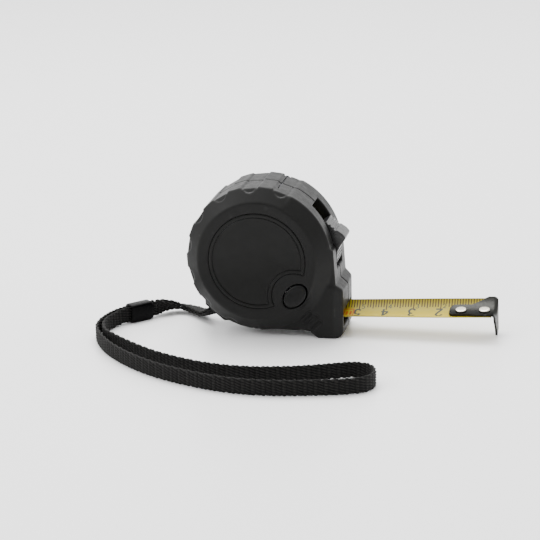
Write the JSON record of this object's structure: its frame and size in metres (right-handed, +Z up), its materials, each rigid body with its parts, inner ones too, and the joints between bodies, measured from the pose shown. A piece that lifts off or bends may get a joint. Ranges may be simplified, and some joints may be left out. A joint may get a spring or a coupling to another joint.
{
  "type": "tape measure",
  "caption": "Pocket tape measure with a sprung reel, thumb lock, stop button, curved steel blade with an end hook, and a woven wrist strap.",
  "frame": {"origin": "middle of the flat foot under the mouth, on the surface that the case stands on", "axes": "+X along the blade towards its hook, +Y to the right-hand side face (the screw side), +Z up"},
  "size_m": [0.1446, 0.0894, 0.0559],
  "materials": {
    "shell": "matte",
    "disc": "satin",
    "control": "satin",
    "reel_plastic": "matte",
    "brake_rubber": "matte",
    "blade_paint": "satin",
    "hook_steel": "satin",
    "bright_steel": "polished",
    "screw_steel": "satin",
    "spring_steel": "satin",
    "webbing": "matte",
    "ferrule_plastic": "satin"
  },
  "bodies": {
    "case": {"case_left": "shell", "case_right": "shell", "left_disc": "disc", "right_disc": "disc", "case_screw_1": "screw_steel", "case_screw_2": "screw_steel", "case_screw_3": "screw_steel", "case_screw_4": "screw_steel", "reel_post": "bright_steel", "washer_left": "bright_steel", "washer_right": "bright_steel", "strap_pin": "bright_steel", "strap_tail": "webbing", "strap_loop": "webbing", "stop_leaf": "spring_steel"},
    "reel": {"reel_drum": "reel_plastic", "reel_cover": "reel_plastic", "blade_coil": "blade_paint", "return_spring": "spring_steel"},
    "blade_end": {"blade": "blade_paint", "hook_rivet_inner": "bright_steel", "hook_rivet_outer": "bright_steel"},
    "hook": {"hook": "hook_steel"},
    "lock": {"lock_slider": "control", "lock_arm": "spring_steel", "brake_pad": "brake_rubber"},
    "stop_button": {"stop_button": "control"},
    "ferrule": {"ferrule": "ferrule_plastic"}
  },
  "joints": [
    {"name": "blade_slide", "type": "slide", "parent": "case", "child": "blade_end", "axis": [0.9989, 0, 0.0471], "range_m": [-0.0526, 0], "deforming": ["blade"]},
    {"name": "reel_spin", "type": "hinge", "parent": "case", "child": "reel", "pos_m": [-0.0253, 0, 0.0292], "axis": [0, -1, 0], "range_deg": [-150, 0]},
    {"name": "hook_play", "type": "slide", "parent": "blade_end", "child": "hook", "axis": [0.9989, 0, 0.0471], "range_m": [-0.0008, 0]},
    {"name": "lock_slide", "type": "hinge", "parent": "case", "child": "lock", "pos_m": [-0.0253, 0, 0.0292], "axis": [0, -1, 0], "range_deg": [0, 16]},
    {"name": "stop_press", "type": "slide", "parent": "case", "child": "stop_button", "axis": [0, 1, 0], "range_m": [0, 0.0015], "stiffness_N_per_m": 600, "deforming": ["stop_leaf"]},
    {"name": "ferrule_slide", "type": "slide", "parent": "case", "child": "ferrule", "axis": [0.6878, 0.7259, 0], "range_m": [-0.002, 0.002]}
  ],
  "couplings": [
    {"joint": "reel_spin", "follows": "blade_slide", "rad_per_m": 48.077}
  ]
}
